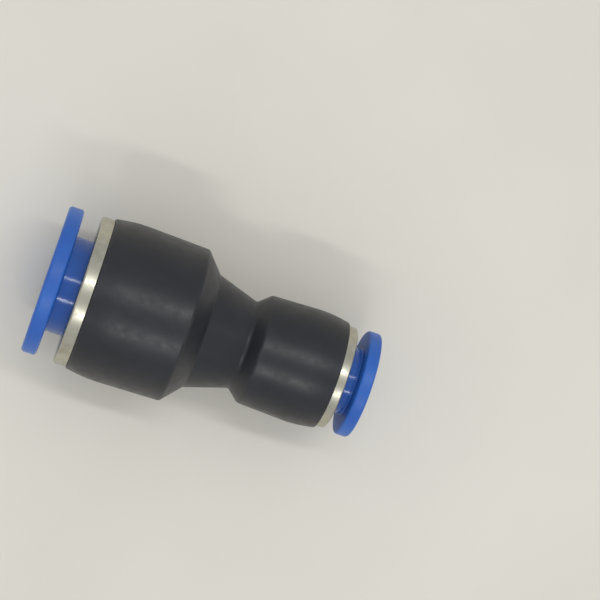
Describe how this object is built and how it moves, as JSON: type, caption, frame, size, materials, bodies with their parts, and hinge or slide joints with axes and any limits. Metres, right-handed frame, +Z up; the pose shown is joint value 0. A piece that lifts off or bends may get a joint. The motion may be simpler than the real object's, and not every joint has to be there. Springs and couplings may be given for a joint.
{
  "type": "push to connect fitting",
  "caption": "Straight reducing push to connect union: black body with a waist, a blue release sleeve at each end, plated guide rings, and a claw ring, collar and O-ring inside each socket.",
  "frame": {"origin": "on the fitting's axis, midway between the outer faces of the two release sleeves at rest", "axes": "+X along the fitting's axis towards the 1/4 in tube end, +Z up from the surface it lies on"},
  "size_m": [0.0388, 0.0188, 0.0188],
  "materials": {
    "body_plastic": "satin moulded black glass-filled PBT",
    "sleeve_plastic": "smooth moulded blue acetal",
    "plated_ring": "nickel-plated turned brass",
    "claw_steel": "stamped stainless spring steel",
    "collar_plastic": "moulded black acetal",
    "seal_rubber": "moulded black nitrile rubber"
  },
  "bodies": {
    "fitting_body": {"body": "body_plastic", "guide_ring_3_8": "plated_ring", "guide_ring_1_4": "plated_ring", "claw_ring_3_8": "claw_steel", "claw_ring_1_4": "claw_steel", "collar_3_8": "collar_plastic", "collar_1_4": "collar_plastic", "o_ring_3_8": "seal_rubber", "o_ring_1_4": "seal_rubber"},
    "sleeve_3_8": {"release_sleeve_3_8": "sleeve_plastic"},
    "sleeve_1_4": {"release_sleeve_1_4": "sleeve_plastic"}
  },
  "joints": [
    {"name": "release_3_8", "type": "slide", "parent": "fitting_body", "child": "sleeve_3_8", "axis": [1, 0, 0], "range_m": [0, 0.00195], "stiffness_N_per_m": 60, "springref_m": -0.0005, "deforming": ["claw_ring_3_8"]},
    {"name": "release_1_4", "type": "slide", "parent": "fitting_body", "child": "sleeve_1_4", "axis": [-1, 0, 0], "range_m": [0, 0.0013], "stiffness_N_per_m": 60, "springref_m": -0.0005, "deforming": ["claw_ring_1_4"]}
  ]
}
